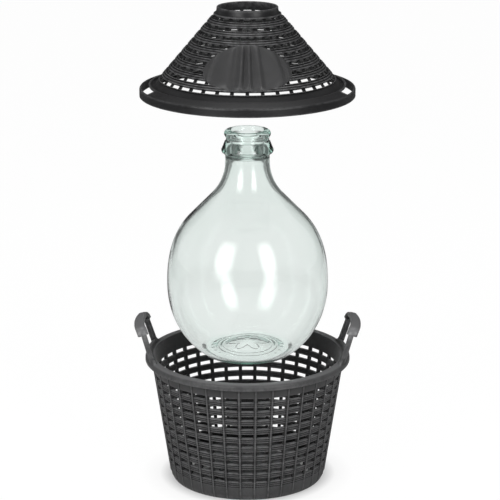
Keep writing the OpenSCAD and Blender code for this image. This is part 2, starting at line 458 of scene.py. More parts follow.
def leg_station_range():
    """The rim stations at the outer and at the inner face of a handle's leg."""
    places = [i for i, s in enumerate(BASKET) if s.kind == "rim" and s.z > RIM_Z - 2]
    out_i = next(i for i in places if near(BASKET[i].r, WEB_OUT_R))
    in_i = next(i for i in places if near(BASKET[i].r, WEB_IN_R))
    return out_i, in_i


LEG_OUT_I, LEG_IN_I = leg_station_range()


def under_leg(i, j):
    """True for the cells of the rim's top that a handle's leg grows out of."""
    k = (j + 1) % len(BASKET_COLUMNS)
    ends = sorted((from_handle(BASKET_COLUMNS[j]), from_handle(BASKET_COLUMNS[k])))
    in_leg = near(ends[0], LEG_EDGES[0]) and near(ends[1], LEG_EDGES[1])
    return in_leg and LEG_OUT_I <= i < LEG_IN_I


CHEEK_SHARES = (0.08, 0.3, 0.65)
CORNER_STEPS = 6
BAR_STEPS = 6


def arch_path():
    """The middle line of a handle, from foot to foot.

    Its points are (distance from the handle's middle, height above the rim, kind, bar), where bar
    goes from 0 down the legs to 1 along the grip's bar.
    """
    top = HANDLE_H - GRIP_RISE
    corner_h = top - GRIP_CORNER
    corner_x = mix(LEG_FOOT_OUT, LEG_TOP_OUT, corner_h / top)
    leg = [(mix(LEG_FOOT_OUT, corner_x, h / corner_h), h) for h in (*LEG_HEIGHTS, top - LEDGE_DROP)]
    ledge_x, ledge_h = leg[-1]
    corner = arc(corner_x - GRIP_CORNER, corner_h, GRIP_CORNER, 0, 90, CORNER_STEPS)
    bar_end = corner[-1][0]
    path = [(x, h, "leg", 0) for x, h in leg]
    path += [(mix(ledge_x, corner_x, t), mix(ledge_h, corner_h, t), "grip", 0) for t in CHEEK_SHARES]
    path += [(x, h, "grip", n / CORNER_STEPS) for n, (x, h) in enumerate(corner)]
    path += [(bar_end * (1 - n / BAR_STEPS), top, "grip", 1) for n in range(1, BAR_STEPS)]
    mirrored = [(-x, h, kind, bar) for x, h, kind, bar in reversed(path)]
    return path + [(0, top, "grip", 1)] + mirrored


def leg_section():
    """Corners of a leg's bevelled section as (outward, away from the arch's opening)."""
    flat_t = LEG_HALF_T - 0.65
    flat_w = LEG_HALF_W - 0.7
    inside = [(-LEG_HALF_T, -flat_w)]
    inside += [(o, -LEG_HALF_W) for o in (-flat_t, -0.9, 0.9, flat_t)]
    inside.append((LEG_HALF_T, -flat_w))
    return inside + [(o, -b) for o, b in reversed(inside)]


def grip_section(bar):
    """Corners of the grip's section, which has a lip down its outer edge."""
    under = mix(-LEG_HALF_W, -0.7, bar)
    lip = -5.3
    return [(-5.9, under + 0.8), (-5.1, under), (3.8, under), (4.8, lip + 0.7),
            (6.2, lip), (7.5, lip + 0.9), (7.85, 0.6), (7.2, 3.0),
            (5.4, 4.2), (0, GRIP_RISE), (-4.5, 3.7), (-5.9, 2.2)]


def handle_point(x, h, side):
    """A point of the leaning arch, from its distance round from the middle and its height."""
    r = LEG_R + h * math.tan(math.radians(HANDLE_LEAN))
    return on_axis(r, RIM_Z + h, side + math.degrees(x / r))


def handle_ring(bm, path, n, side):
    """Vertices of the handle's section at the nth point of its path."""
    x, h, kind, bar = path[n]
    here = handle_point(x, h, side)
    before = handle_point(*path[max(n - 1, 0)][:2], side)
    after = handle_point(*path[min(n + 1, len(path) - 1)][:2], side)
    along = (after - before).normalized()
    lean = math.radians(HANDLE_LEAN)
    level = Vector((here.x, here.y, 0)).normalized()
    outward = level * math.cos(lean) - Vector((0, 0, math.sin(lean)))
    outward = (outward - along * outward.dot(along)).normalized()
    away = along.cross(outward)
    section = leg_section() if kind == "leg" else grip_section(bar)
    return [bm.verts.new(here + (outward * o + away * b) * MM) for o, b in section]


def foot_ring(grid, side, sign):
    """The rim vertices round one leg's foot, in the same order as the leg's section."""

    def column(turn):
        wanted = side + sign * turn
        return next(j for j, a in enumerate(BASKET_COLUMNS) if near((a - wanted + 180) % 360, 180))

    inside, outside = column(LEG_EDGES[0]), column(LEG_EDGES[1])
    outward = range(LEG_IN_I, LEG_OUT_I - 1, -1)
    return [grid[i][inside] for i in outward] + [grid[i][outside] for i in reversed(outward)]


def add_handle(bm, grid, side):
    """Grows one arched handle out of the rim, from one foot round to the other."""
    path = arch_path()
    rings = [foot_ring(grid, side, 1)]
    rings += [handle_ring(bm, path, n, side) for n in range(len(path))]
    rings.append(foot_ring(grid, side, -1))
    for low, high in zip(rings, rings[1:]):
        for a in range(len(low)):
            b = (a + 1) % len(low)
            bm.faces.new((low[a], low[b], high[b], high[a]))


def build_basket():
    bm = bmesh.new()
    grid = pierced_shell(bm, BASKET_COLUMNS, len(BASKET), basket_outer, basket_inner,
                         basket_open, under_leg)
    for side in (0, 180):
        add_handle(bm, grid, side)
    return finished_object("basket_moulding", bm)


# ---------------------------------------------------------------- cover

# Columns of one web and of the opening after it, in degrees from the web's middle
COVER_EDGES = (-1.2, -0.4, 0.4, 1.2, 2.98, 5.0, 7.02)
WEB_CELLS = 3
COVER_COLUMNS = [k * RIB_GAP + edge for k in range(RIB_COUNT) for edge in COVER_EDGES]

# Relief between two rows of openings, as (distance up the slope, rise): from the sharp
# overhang above one row, over two ridges, to the bead right below the next row
STRAND_SHAPE = ((0.0, -0.2), (0.3, 1.0), (1.2, 1.3), (2.3, 1.0), (2.65, -0.1), (3.0, 1.0),
                (4.1, 1.4), (5.3, 1.0), (5.65, -0.2), (6.3, -0.2), (6.6, 0.9), (7.2, 1.3), (7.85, 0.9))
FIRST_RIDGE = STRAND_SHAPE[:5]
BEAD = STRAND_SHAPE[8:]


def slope_point(up, rise):
    """A point above the cone's slope, at a distance up it from the middle of the lowest openings."""
    return RING_R - up * CONE_IN + rise * CONE_UP, RING_Z + up * CONE_UP + rise * CONE_IN


def slope_station(up, rise, kind, row=0):
    """A station on the cone, with its inner point sunk square into the wall."""
    return Station(*slope_point(up, rise), *slope_point(up, -COVER_T), kind, row)


def ring_stations():
    """Up the cone: every row of openings and the strand above it, or the ridge above the last."""
    stations = []
    for row in range(RING_ROWS):
        low = row * RING_PITCH - RING_SLOT_H / 2
        high = low + RING_SLOT_H
        stations += [
            slope_station(low, 0, "slot", row),
            slope_station(low + 0.3, -WEB_SINK, "slot", row),
            slope_station(high - 0.3, -WEB_SINK, "slot", row),
        ]
        shape = STRAND_SHAPE if row < RING_ROWS - 1 else FIRST_RIDGE
        stations += [slope_station(high + up, rise, "strand") for up, rise in shape]
    return stations


def skirt_stations():
    """Up the skirt and over the slope that the crescents are cut in, to the foot of the shelf."""
    inner_r = COVER_R - COVER_T
    stations = [
        Station(COVER_R - 0.7, 0, inner_r + 0.4, 0, "skirt"),
        Station(COVER_R, 0.7, inner_r, 0.5, "skirt"),
        Station(COVER_R, 2, inner_r, 1.5, "skirt"),
        Station(COVER_R, SKIRT_H - 3.6, inner_r, 3, "skirt"),
        Station(COVER_R, SKIRT_H - 2.4, inner_r, 4.5, "skirt"),
        Station(COVER_R - 0.35, SKIRT_H - 1.1, inner_r, 6, "skirt"),
        Station(COVER_R - 1.0, SKIRT_H - 0.3, inner_r, 8, "skirt"),
    ]
    slope_r = COVER_R - 1.5
    for r in (CUT_OUT_R, *CUT_BETWEEN_R, CUT_IN_R):
        z = mix(SKIRT_H, SHELF_Z, (slope_r - r) / (slope_r - SHELF_R))
        stations.append(Station(r, z, r - 0.4, z - COVER_T, "shelf" if r == CUT_IN_R else "cut"))
    return stations


def shelf_stations():
    """Over the shelf, down into the gutter and up to the cone's foot."""
    under = GUTTER_Z - COVER_T
    return [
        Station(SHELF_R, SHELF_Z, SHELF_R, SHELF_Z - COVER_T, "shelf"),
        Station(SHELF_R - 1.2, SHELF_Z, SHELF_R - 0.8, SHELF_Z - COVER_T, "shelf"),
        Station(SHELF_R - 2.2, SHELF_Z - 0.5, SHELF_R - 1.6, SHELF_Z - COVER_T - 0.6, "shelf"),
        Station(GUTTER_R + 1.4, GUTTER_Z + 0.35, GUTTER_R + 2, under + 0.2, "shelf"),
        Station(GUTTER_R - 0.2, GUTTER_Z, GUTTER_R, under, "shelf"),
        Station(GUTTER_R - 2, GUTTER_Z + 0.8, GUTTER_R - 2.6, under + 0.3, "shelf"),
        Station(GUTTER_R - 3.6, GUTTER_Z + 2.6, GUTTER_R - 4.8, GUTTER_Z - 0.2, "shelf"),
    ]


def collar_stations():
    outer_r = COLLAR_R + COVER_T
    return [
        Station(outer_r + 1.2, COVER_H - 7, COLLAR_R + 1.2, COVER_H - 8.5, "collar"),
        Station(outer_r + 0.3, COVER_H - 4.6, COLLAR_R, COVER_H - 5.5, "collar"),
        Station(outer_r, COVER_H - 0.8, COLLAR_R, COVER_H - 0.7, "collar"),
        Station(outer_r - 0.7, COVER_H, COLLAR_R + 0.6, COVER_H, "collar"),
    ]


def cover_stations():
    """From the skirt's lower edge over the shelf and up the rings to the top of the collar."""
    foot = -RING_SLOT_H / 2 - STRAND_SHAPE[-1][0] - 0.3
    stations = skirt_stations() + shelf_stations()
    stations.append(slope_station(foot + 2.2, 0, "shelf"))
    stations += [slope_station(foot + up, rise, "strand") for up, rise in BEAD]
    return stations + ring_stations() + collar_stations()


COVER = cover_stations()


def cover_outer(i, _):
    return COVER[i].r, COVER_Z + COVER[i].z


def cover_inner(i, _):
    return COVER[i].inner_r, COVER_Z + COVER[i].inner_z


def cover_open(i, j):
    """The shelf is open in two crescents for the handles, and the cone between its webs."""
    kind, row = COVER[i].kind, COVER[i].number
    web, place = divmod(j, len(COVER_EDGES))
    if kind == "cut":
        k = (j + 1) % len(COVER_COLUMNS)
        return max(from_handle(COVER_COLUMNS[j]), from_handle(COVER_COLUMNS[k])) <= CUT_TURN + 0.1
    if kind != "slot":
        return False
    if row < RING_ROWS - 2:
        return place >= WEB_CELLS
    # The two small rings at the top have half as many openings, over every odd web.
    return place <= WEB_CELLS + 2 if web % 2 else place > WEB_CELLS


PLATE_MIDDLE_R = RING_R + PLATE_PROUD - (PLATE_Z - RING_Z) * CONE_IN / CONE_UP
PLATE_COLUMNS = 141
PLATE_ROWS = 28
PLATE_LOOKS = 200
HALVINGS = 40


def plate_share(up, turn):
    """How far out a point of the plate is, 0 in its middle and 1 on its oval edge.

    The point is given by its distance up the cone and its turn away from the front.
    """
    r = PLATE_MIDDLE_R - up * CONE_IN
    across = r * math.sin(math.radians(turn))
    forward = PLATE_MIDDLE_R - r * math.cos(math.radians(turn))
    along = forward * CONE_IN + up * CONE_UP ** 2
    return math.hypot(across / (PLATE_W / 2), along / (PLATE_H / 2))


def halved(is_inside, inside, outside):
    """The place between two values where a test stops being true."""
    for _ in range(HALVINGS):
        middle = (inside + outside) / 2
        if is_inside(middle):
            inside = middle
        else:
            outside = middle
    return inside


def plate_middle_up(turn):
    """Distance up the cone where a line of the plate is nearest to the plate's middle."""
    ups = [PLATE_H * (n / PLATE_LOOKS - 0.5) for n in range(PLATE_LOOKS + 1)]
    return min(ups, key=lambda up: plate_share(up, turn))


def plate_reach(turn):
    """Distances up the cone at which a line of the plate meets its lower and its upper edge."""
    middle = plate_middle_up(turn)

    def on_plate(up):
        return plate_share(up, turn) < 1

    return [halved(on_plate, middle, middle + way * PLATE_H) for way in (-1, 1)]


def fold(turn):
    """Relief of the plate's upright folds, 0 to 1: slow rises and quick falls, unevenly spaced."""
    x = math.radians(turn) * PLATE_MIDDLE_R
    share = (x / FOLD_W + FOLD_WANDER * math.sin(x / FOLD_WANDER_LENGTH) + FOLD_SHIFT) % 1
    rise = share / FOLD_CREST if share < FOLD_CREST else (1 - share) / (1 - FOLD_CREST)
    return rise * rise * (3 - 2 * rise)


def build_plate():
    """The oval plate on the front of the cone, as a closed solid that stands a little way into it."""
    last = PLATE_COLUMNS - 1
    widest = halved(lambda turn: plate_share(plate_middle_up(turn), turn) < 1, 0, 60)
    turns = [widest * math.sin(math.pi * (j / last - 0.5)) for j in range(PLATE_COLUMNS)]
    reaches = [plate_reach(turn) for turn in turns]

    def up_at(i, j):
        """Distance up the cone of a row at a column, with the rows closest at the plate's edge."""
        return mix(*reaches[j], 0.5 - 0.5 * math.cos(math.pi * i / (PLATE_ROWS - 1)))

    def placed(i, j, rise):
        up = up_at(i, j)
        return (PLATE_MIDDLE_R - up * CONE_IN + rise * CONE_UP,
                COVER_Z + PLATE_Z + up * CONE_UP + rise * CONE_IN)

    def outer(i, j):
        if i in (0, PLATE_ROWS - 1) or j in (0, last):
            return placed(i, j, -PLATE_EDGE_SINK)
        flatten = 1 - plate_share(up_at(i, j), turns[j]) ** 8
        return placed(i, j, fold(turns[j]) * FOLD_RISE * flatten - 0.1)

    def inner(i, j):
        return placed(i, j, -PLATE_DEPTH)

    bm = bmesh.new()
    pierced_shell(bm, [turn - 90 for turn in turns], PLATE_ROWS, outer, inner, lambda i, j: j == last)
    return finished_object("cover_plate", bm)


def build_cover():
    bm = bmesh.new()
    pierced_shell(bm, COVER_COLUMNS, len(COVER), cover_outer, cover_inner, cover_open)
    return finished_object("cover_moulding", bm)


# ---------------------------------------------------------------- glass


def superellipse_r(r, c, power, h):
    """Radius of a superellipse with half axes r across and c upright, at a height from its middle."""
    return r * max(0.0, 1 - (h / c) ** power) ** (1 / power)


def superellipse_c(r, power, h, end_r):
    """The upright half axis with which a superellipse narrows from r to end_r over a height."""
    return h / (1 - (end_r / r) ** power) ** (1 / power)


def lower_skin(r, end_z, c, steps):
    """Points from a height above the foot up to the widest level of the globe."""
    points = []
    for i in range(steps, -1, -1):
        h = (GLOBE_Z - end_z) * math.sin(math.pi / 2 * i / steps)
        points.append((superellipse_r(r, c, LOWER_POWER, h), GLOBE_Z - h))
    return points


def upper_skin(r, c, throat_r, sweep_r, steps):
    """Points from the widest level up the globe and the straight shoulder, and round into the neck."""
    lean = math.radians(SHOULDER_LEAN)
    # The globe ends where its slope is the shoulder's.
    k = (math.tan(lean) * c / r) ** (UPPER_POWER / (UPPER_POWER - 1))
    top_h = c * (k / (1 + k)) ** (1 / UPPER_POWER)
    top_r = superellipse_r(r, c, UPPER_POWER, top_h)
    sweep_start_r = throat_r + sweep_r * (1 - math.cos(lean))
    sweep_start_z = GLOBE_Z + top_h + (top_r - sweep_start_r) / math.tan(lean)
    points = []
    for i in range(1, steps + 1):
        h = top_h * math.sin(math.pi / 2 * i / steps)
        points.append((superellipse_r(r, c, UPPER_POWER, h), GLOBE_Z + h))
    for i in range(steps // 2 + 1):
        a = lean * (1 - 2 * i / steps)
        points.append((throat_r + sweep_r * (1 - math.cos(a)),
                       sweep_start_z + sweep_r * (math.sin(lean) - math.sin(a))))
    return points


def base_relief(r, angle):
    """Height of the generic pattern pressed into the base: rings, a circle of dots and a rosette."""
    rings = sum(swell(r - ring_r, width) for ring_r, width in RELIEF_RINGS)
    along = math.radians(angle % DOT_GAP - DOT_GAP / 2) * r
    dots = swell(math.hypot(r - DOTS_R, along), DOT_W)
    petal_r = ROSETTE_R + PETAL_LEN * math.cos(math.radians(PETALS * angle))
    return RELIEF_H * (rings + dots) + ROSETTE_H * swell(r - petal_r, ROSETTE_W)


PUNT_STEPS = 44
HUMP_STEPS = 12
SKIN_STEPS = 24


def neck_outline():
    """Round the stout ring, up over the lip and down to the mouth."""
    outline = [(NECK_R, NECK_RING_Z - 1)]
    outline += arc(NECK_R + 1, NECK_RING_Z + 5, 4, -80, 25, 8)
    outline += [
        (NECK_R + 3.2, NECK_RING_Z + 10),
        (NECK_R + 0.8, GLASS_H - 15.4),
        (NECK_R - 0.4, GLASS_H - 14.2),
        (NECK_R - 0.9, GLASS_H - 12.8),
        (NECK_R - 0.8, GLASS_H - 11.2),
    ]
    outline += arc(LIP_R - LIP_ROUND, GLASS_H - LIP_ROUND, LIP_ROUND, -48, 90, 12)
    outline += arc(BORE_R + MOUTH_ROUND, GLASS_H - MOUTH_ROUND, MOUTH_ROUND, 90, 180, 6)
    return outline


def inside_outline(globe_c):
    """Down the bore and round inside the globe, and in over the hump in the floor."""
    throat_r = NECK_R - NECK_T
    outline = [(BORE_R, GLASS_H - BORE_LEN), (throat_r, GLASS_H - BORE_LEN - 1)]
    outline += reversed(upper_skin(GLOBE_R - GLASS_T, UPPER_C - GLASS_T, throat_r,
                                   NECK_SWEEP_R + NECK_T, SKIN_STEPS))
    outline += reversed(lower_skin(GLOBE_R - GLASS_T, INSIDE_FLOOR_Z, globe_c - GLASS_T, SKIN_STEPS))
    for i in range(1, HUMP_STEPS + 1):
        share = i / HUMP_STEPS
        rise = HUMP_H * math.sin(share * math.pi / 2)
        outline.append((HUMP_R * (1 - share), INSIDE_FLOOR_Z + rise))
    return outline


def bottle_outline():
    """Closed outline of the glass as (r, z, kind), from the middle of the base up and back inside."""
    globe_c = superellipse_c(GLOBE_R, LOWER_POWER, GLOBE_Z, FOOT_R)
    shares = [i / PUNT_STEPS for i in range(PUNT_STEPS + 1)]
    punt = [(PUNT_R * share, PUNT_H * math.cos(share * math.pi / 2)) for share in shares]
    wall = [(FOOT_R - 4.6, 0.25), (FOOT_R - 3, 0)]
    wall += [(r, max(z, 0.0)) for r, z in lower_skin(GLOBE_R, 0.6, globe_c, SKIN_STEPS + 2)]
    wall += upper_skin(GLOBE_R, UPPER_C, NECK_R, NECK_SWEEP_R, SKIN_STEPS)
    parts = (("base", punt), ("wall", wall), ("neck", neck_outline()), ("inside", inside_outline(globe_c)))
    return [(r, z, kind) for kind, points in parts for r, z in points]


def uneven(r, z, kind, angle):
    """A point of the bottle's outline at one angle, with the base's relief or the glass's waves."""
    x, y, _ = on_axis(r, z, angle) / MM
    if kind == "base":
        z += base_relief(r, angle)
    elif kind == "wall" and r > NECK_R + 0.5 and z > 3:
        depth, length = WALL_WAVES
        r -= depth * (1 + ripple(x, y, z, length))
    elif kind == "inside" and r > NECK_R - NECK_T + 0.5:
        depth, length = INSIDE_WAVES
        swollen_r = r + depth * ripple(x, y, z + NOISE_SHIFT, length)
        if swollen_r < FOOT_R:
            depth, length = FLOOR_WAVES
            z += depth * ripple(x, y, z - NOISE_SHIFT, length)
        r = swollen_r
    return r, z


def build_glass():
    """The bottle as a closed lathe, with the slight unevenness of blown glass in both of its skins."""
    outline = bottle_outline()
    angles = [360 * j / GLASS_COLUMNS for j in range(GLASS_COLUMNS)]
    bm = bmesh.new()
    grid = []
    for r, z, kind in outline:
        points = [(*uneven(r, z, kind, angle), angle) for angle in angles]
        grid.append([bm.verts.new(on_axis(r, GLASS_Z + z, angle)) for r, z, angle in points])
    for low, high in zip(grid, grid[1:]):
        for j in range(GLASS_COLUMNS):
            k = (j + 1) % GLASS_COLUMNS
            quad(bm, low[j], low[k], high[k], high[j])
    return finished_object("glass_bottle", bm, sharp_angle=75)


# ---------------------------------------------------------------- materials

# Plastic: the scale of its noises per metre, and how deep they are
FLOW_SCALE = 18
SCUFF_SCALE = 160
SCUFF_DEPTH = 0.12 * MM
GRAIN_SCALE = 1400
GRAIN_DEPTH = 0.10 * MM
ROUGHNESS = (0.32, 0.46)
POLISHED_ROUGHNESS = 0.24
SHEEN = 0.4
# Where a bend begins and ends to count as a crease, darkened as painted shade, or an edge, paled as wear
# and painted highlight, and where an upward slope is painted lighter as if lit from above
CREASE_BEND = (0.43, 0.495)
EDGE_BEND = (0.515, 0.575)
LEDGE_SLOPE = (0.7, 0.97)
# How far round a point the plastic looks for walls that shelter it, in metres, to paint shade into its
# hollows
HOLLOW_REACH = 0.25
# The height above which hands have rubbed the basket's grips smoother and the grips are painted paler as a
# highlight, in metres
GRIP_LOW_Z = 0.198
# A height that no piece reaches, for plastic with no smoother, painted-paler grips
NOWHERE_Z = 1.0
BASKET_TONE = (0.066, 0.066, 0.067)
COVER_TONE = (0.015, 0.015, 0.016)
# The plate is part of the cover's moulding; its tone, paler than the cover's, is painted light
PLATE_LIT_TONE = (0.050, 0.050, 0.051)
# Pale tone of worn edges and of the painted highlights on edges, grips and upward faces
WEAR_AND_HIGHLIGHT_TONE = (0.220, 0.220, 0.224)

# Glass: the darker and the lighter tone of its faces, and the tone that its thickness leaves
GLASS_TONES = ((0.962, 0.978, 0.968), (0.987, 0.995, 0.989))
GLASS_DEPTH_TONE = (0.42, 0.72, 0.63)
GLASS_DENSITY = 20
WAVE_SCALE = 22
WAVE_DEPTH = 0.9 * MM
SEED_SCALE = 130
SEED_DEPTH = 0.05 * MM
SMEAR_SCALE = 60

# The floor's glow, over distances from the axis in metres. Where the floor is seen directly, the
# glow starts round the basket's foot. Through the glass it fades far away, sooner across than along.
FLOOR_GLOW = 1.05
FLOOR_REACH = 6.0
FOOT_SHADOW_R = (0.085, 0.12)
DIRECT_GLOW = (0.0, 0.93)
GLASS_GLOW_R = (2.4, 3.4)
GLASS_GLOW = (0.86, 0.1)
GLASS_GLOW_STRETCH = (3, 0.42, 0)


class Nodes:
    """Short names for making and joining shader nodes."""

    def __init__(self, tree):
        self.tree = tree
        self.tree.nodes.clear()

    def add(self, kind, **values):
        node = self.tree.nodes.new("ShaderNode" + kind)
        for name, value in values.items():
            setattr(node, name, value)
        return node

    def join(self, output, target):
        self.tree.links.new(output, target)

    def noise(self, place, scale, detail=4.0, roughness=0.55):
        node = self.add("TexNoise")
        node.inputs["Scale"].default_value = scale
        node.inputs["Detail"].default_value = detail
        node.inputs["Roughness"].default_value = roughness
        self.join(place, node.inputs["Vector"])
        return node.outputs["Fac"]

    def ramp(self, value, *stops):
        """A colour ramp. Each stop is (place, colour or grey level)."""
        node = self.add("ValToRGB")
        elements = node.color_ramp.elements
        while len(elements) < len(stops):
            elements.new(0.5)
        for element, (place, tone) in zip(elements, stops):
            element.position = place
            element.color = (*tone, 1) if isinstance(tone, tuple) else (tone, tone, tone, 1)
        self.join(value, node.inputs["Fac"])
        return node.outputs["Color"]

    def feed(self, source, target):
        """Joins a socket to an input, or sets the input to a colour or a number."""
        if hasattr(source, "is_linked"):
            self.join(source, target)
        else:
            target.default_value = (*source, 1) if isinstance(source, tuple) else source

    def blend(self, share, a, b, kind="MIX"):
        """Mixes two colours. Each may be a socket or a colour."""
        node = self.add("Mix", data_type="RGBA", blend_type=kind)
        self.feed(share, node.inputs[0])
        self.feed(a, node.inputs[6])
        self.feed(b, node.inputs[7])
        return node.outputs[2]

    def times(self, a, b):
        return self.blend(1.0, a, b, "MULTIPLY")

    def maths(self, operation, a, b):
        """One sum. Each of a and b may be a socket or a number."""
        node = self.add("Math", operation=operation)
        self.feed(a, node.inputs[0])
        self.feed(b, node.inputs[1])
        return node.outputs[0]

    def axis(self, vector, name):
        """One part of a vector."""
        parts = self.add("SeparateXYZ")
        self.join(vector, parts.inputs[0])
        return parts.outputs[name]

    def above(self, place, level, spread):
        """0 below a height and 1 above it, with a soft step between."""
        rise = self.maths("DIVIDE", self.maths("SUBTRACT", self.axis(place, "Z"), level), spread)
        return self.ramp(rise, (0.0, 0.0), (1.0, 1.0))

    def by_distance(self, place, stretch, limits, values):
        """A value that changes between two stretched distances from the object's origin."""
        scaled = self.add("VectorMath", operation="MULTIPLY")
        self.join(place, scaled.inputs[0])
        scaled.inputs[1].default_value = stretch
        length = self.add("VectorMath", operation="LENGTH")
        self.join(scaled.outputs[0], length.inputs[0])
        share = self.maths("DIVIDE", length.outputs["Value"], FLOOR_REACH)
        return self.ramp(share, *((limit / FLOOR_REACH, value) for limit, value in zip(limits, values)))

    def bump(self, height, distance, strength=1.0, under=None):
        node = self.add("Bump")
        node.inputs["Distance"].default_value = distance
        node.inputs["Strength"].default_value = strength
        self.join(height, node.inputs["Height"])
        if under is not None:
            self.join(under, node.inputs["Normal"])
        return node.outputs["Normal"]

    def finish(self, surface, kind="OutputMaterial", volume=None):
        out = self.add(kind)
        self.join(surface, out.inputs["Surface"])
        if volume is not None:
            self.join(volume, out.inputs["Volume"])


def new_material(name):
    material = bpy.data.materials.new(name)
    material.use_nodes = True
    return material, Nodes(material.node_tree)


def shaded(tone, share):
    return tuple(part * share for part in tone)


def grey(level):
    return (level, level, level)


def moulded_plastic(name, tone, polish_and_highlight_z=NOWHERE_Z, painted_relief=1.0, upward_highlight=0.0):
    """Satin charcoal plastic: fine grain, faint flow marks, painted shade in hollows and creases,
    and paler edges that are partly wear and partly a painted highlight.

    Above the height polish_and_highlight_z, in metres, hands have rubbed the surface smoother and it
    is painted paler as a highlight. painted_relief is how strongly the painted crease shade and the
    pale edges stand out, and upward_highlight how pale the painted light on upward faces is.
    """
    material, nodes = new_material(name)
    place = nodes.add("TexCoord").outputs["Object"]
    form = nodes.add("NewGeometry")
    bend = form.outputs["Pointiness"]
    shelter = nodes.add("AmbientOcclusion", samples=6, only_local=True)
    shelter.inputs["Distance"].default_value = HOLLOW_REACH
    flow_marks = nodes.noise(place, FLOW_SCALE, 3)
    scuffs = nodes.noise(place, SCUFF_SCALE, 6, 0.7)
    grain = nodes.noise(place, GRAIN_SCALE, 2)

    facing_up = nodes.axis(form.outputs["Normal"], "Z")
    # Painted light: faces that look upward are painted paler, as if lit from above
    painted_upward_highlight = nodes.ramp(facing_up, (LEDGE_SLOPE[0], 0.0), (LEDGE_SLOPE[1], upward_highlight))
    # Above that height the surface is smoother, and painted paler as a highlight
    polish_and_highlight = nodes.above(place, polish_and_highlight_z, 0.008)
    # Painted shade: creases are darkened
    painted_crease_shade = nodes.ramp(bend, (CREASE_BEND[0], 1 - 0.7 * painted_relief), (CREASE_BEND[1], 1.0))
    # Painted shade: colour and sheen darken where walls of the same piece shelter a point
    painted_hollow_shade = nodes.ramp(shelter.outputs["AO"], (0.2, 0.1), (0.8, 1.0))
    # Pale edges: partly wear, partly a painted highlight, broken up by the scuffs
    edge_wear_and_highlight = nodes.ramp(bend, (EDGE_BEND[0], 0.0), (EDGE_BEND[1], 0.8 * painted_relief))
    scuffed_edge_wear_and_highlight = nodes.times(edge_wear_and_highlight, nodes.ramp(scuffs, (0.38, 0.15), (0.62, 1.0)))

    colour = nodes.ramp(flow_marks, (0.35, shaded(tone, 0.86)), (0.68, shaded(tone, 1.14)))
    colour = nodes.blend(painted_upward_highlight, colour, WEAR_AND_HIGHLIGHT_TONE)
    colour = nodes.blend(polish_and_highlight, colour, WEAR_AND_HIGHLIGHT_TONE)
    colour = nodes.times(nodes.times(colour, painted_crease_shade), painted_hollow_shade)
    colour = nodes.blend(scuffed_edge_wear_and_highlight, colour, WEAR_AND_HIGHLIGHT_TONE)
    roughness = nodes.ramp(scuffs, (0.3, ROUGHNESS[0]), (0.7, ROUGHNESS[1]))
    roughness = nodes.blend(polish_and_highlight, roughness, grey(POLISHED_ROUGHNESS))
    scuffed = nodes.bump(scuffs, SCUFF_DEPTH, 0.5)

    shader = nodes.add("BsdfPrincipled")
    nodes.join(colour, shader.inputs["Base Color"])
    nodes.join(roughness, shader.inputs["Roughness"])
    # The painted shade in hollows dims the sheen as well
    nodes.join(nodes.times(grey(SHEEN), painted_hollow_shade), shader.inputs["Specular IOR Level"])
    nodes.join(nodes.bump(grain, GRAIN_DEPTH, 0.6, scuffed), shader.inputs["Normal"])
    shader.inputs["IOR"].default_value = 1.49
    nodes.finish(shader.outputs["BSDF"])
    return material


def bottle_glass():
    """Clear pressed glass with a grey-green cast that deepens where the light travels far through it."""
    material, nodes = new_material("carboy_glass")
    place = nodes.add("TexCoord").outputs["Object"]
    waves = nodes.noise(place, WAVE_SCALE, 2, 0.4)
    seeds = nodes.add("TexVoronoi")
    seeds.inputs["Scale"].default_value = SEED_SCALE
    nodes.join(place, seeds.inputs["Vector"])
    seed_marks = nodes.ramp(seeds.outputs["Distance"], (0.03, 1.0), (0.09, 0.0))
    wavy = nodes.bump(waves, WAVE_DEPTH, 0.55)
    smears = nodes.ramp(nodes.noise(place, SMEAR_SCALE, 3), (0.4, 0.0), (0.75, 0.03))
    tone = nodes.ramp(waves, (0.3, GLASS_TONES[0]), (0.7, GLASS_TONES[1]))

    shader = nodes.add("BsdfPrincipled")
    nodes.join(tone, shader.inputs["Base Color"])
    nodes.join(smears, shader.inputs["Roughness"])
    nodes.join(nodes.bump(seed_marks, SEED_DEPTH, 0.25, wavy), shader.inputs["Normal"])
    shader.inputs["Transmission Weight"].default_value = 1.0
    shader.inputs["IOR"].default_value = 1.5
    depth = nodes.add("VolumeAbsorption")
    nodes.feed(GLASS_DEPTH_TONE, depth.inputs["Color"])
    depth.inputs["Density"].default_value = GLASS_DENSITY
    nodes.finish(shader.outputs["BSDF"], volume=depth.outputs["Volume"])
    return material


def floor_finish():
    """Plain pale studio floor, which glows nearly white where it is seen directly or through the glass."""
    material, nodes = new_material("studio_floor")
    place = nodes.add("TexCoord").outputs["Object"]
    shader = nodes.add("BsdfPrincipled")
    nodes.join(nodes.ramp(nodes.noise(place, 3), (0.3, 0.58), (0.7, 0.62)), shader.inputs["Base Color"])
    shader.inputs["Roughness"].default_value = 0.9
    glow = nodes.add("Emission")
    glow.inputs["Strength"].default_value = FLOOR_GLOW
    past_foot = nodes.by_distance(place, (1, 1, 0), FOOT_SHADOW_R, DIRECT_GLOW)
    near_axis = nodes.by_distance(place, GLASS_GLOW_STRETCH, GLASS_GLOW_R, GLASS_GLOW)
    ray = nodes.add("LightPath")
    direct = nodes.maths("MULTIPLY", ray.outputs["Is Camera Ray"], past_foot)
    through = nodes.maths("MULTIPLY", ray.outputs["Is Transmission Ray"], near_axis)
    surface = nodes.add("MixShader")
    nodes.join(nodes.maths("MAXIMUM", direct, through), surface.inputs[0])
    nodes.join(shader.outputs["BSDF"], surface.inputs[1])
    nodes.join(glow.outputs["Emission"], surface.inputs[2])
    nodes.finish(surface.outputs["Shader"])
    return material


# ---------------------------------------------------------------- studio, in metres and watts

